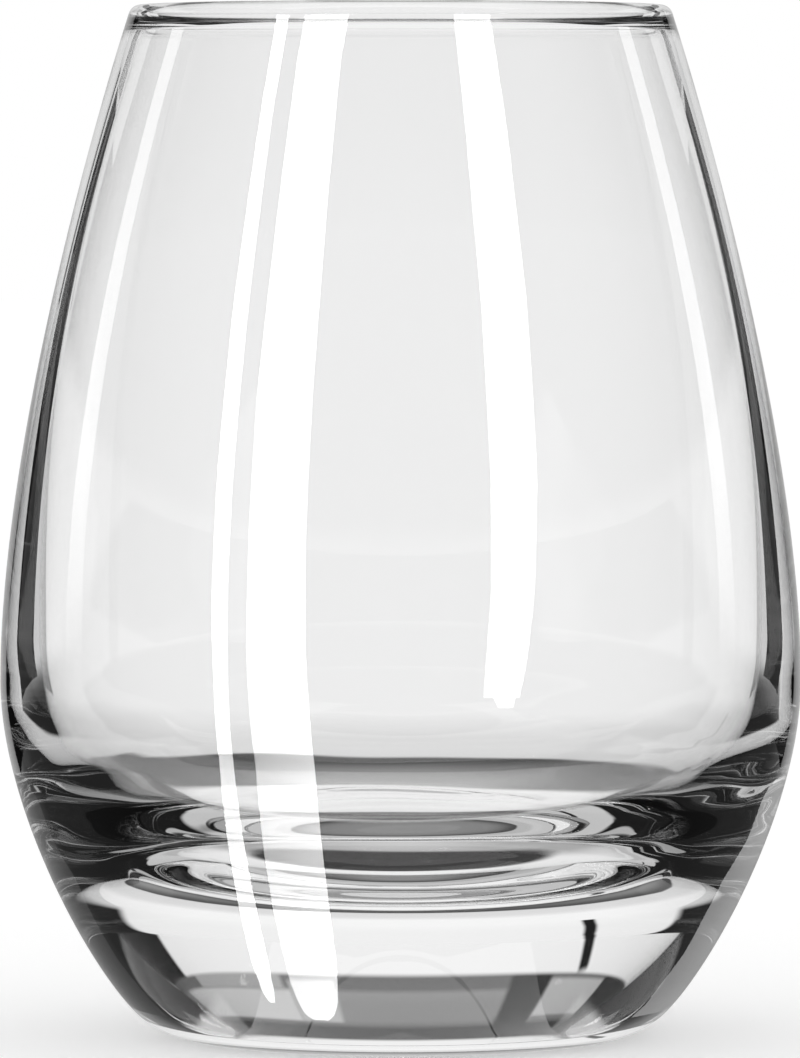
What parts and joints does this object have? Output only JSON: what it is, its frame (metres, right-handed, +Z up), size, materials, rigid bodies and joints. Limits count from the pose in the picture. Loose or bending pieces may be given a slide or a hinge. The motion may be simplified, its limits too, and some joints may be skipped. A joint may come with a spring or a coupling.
{
  "type": "stemless wine glass",
  "caption": "Stemless wine glass: a clear egg-shaped bowl that narrows to a fire-polished rim and stands on a heavy solid glass base.",
  "frame": {"origin": "centre of the flat bearing ring, on the plane that the glass stands on", "axes": "+Z up along the axis of the bowl, towards the mouth; the glass is round, so +X and +Y are any two level directions"},
  "size_m": [0.0716, 0.0714, 0.092],
  "materials": {
    "clear_glass": "clear soda-lime glass, fire-polished, smooth inside and out"
  },
  "bodies": {
    "root": {"glass_body": "clear_glass"}
  },
  "joints": []
}
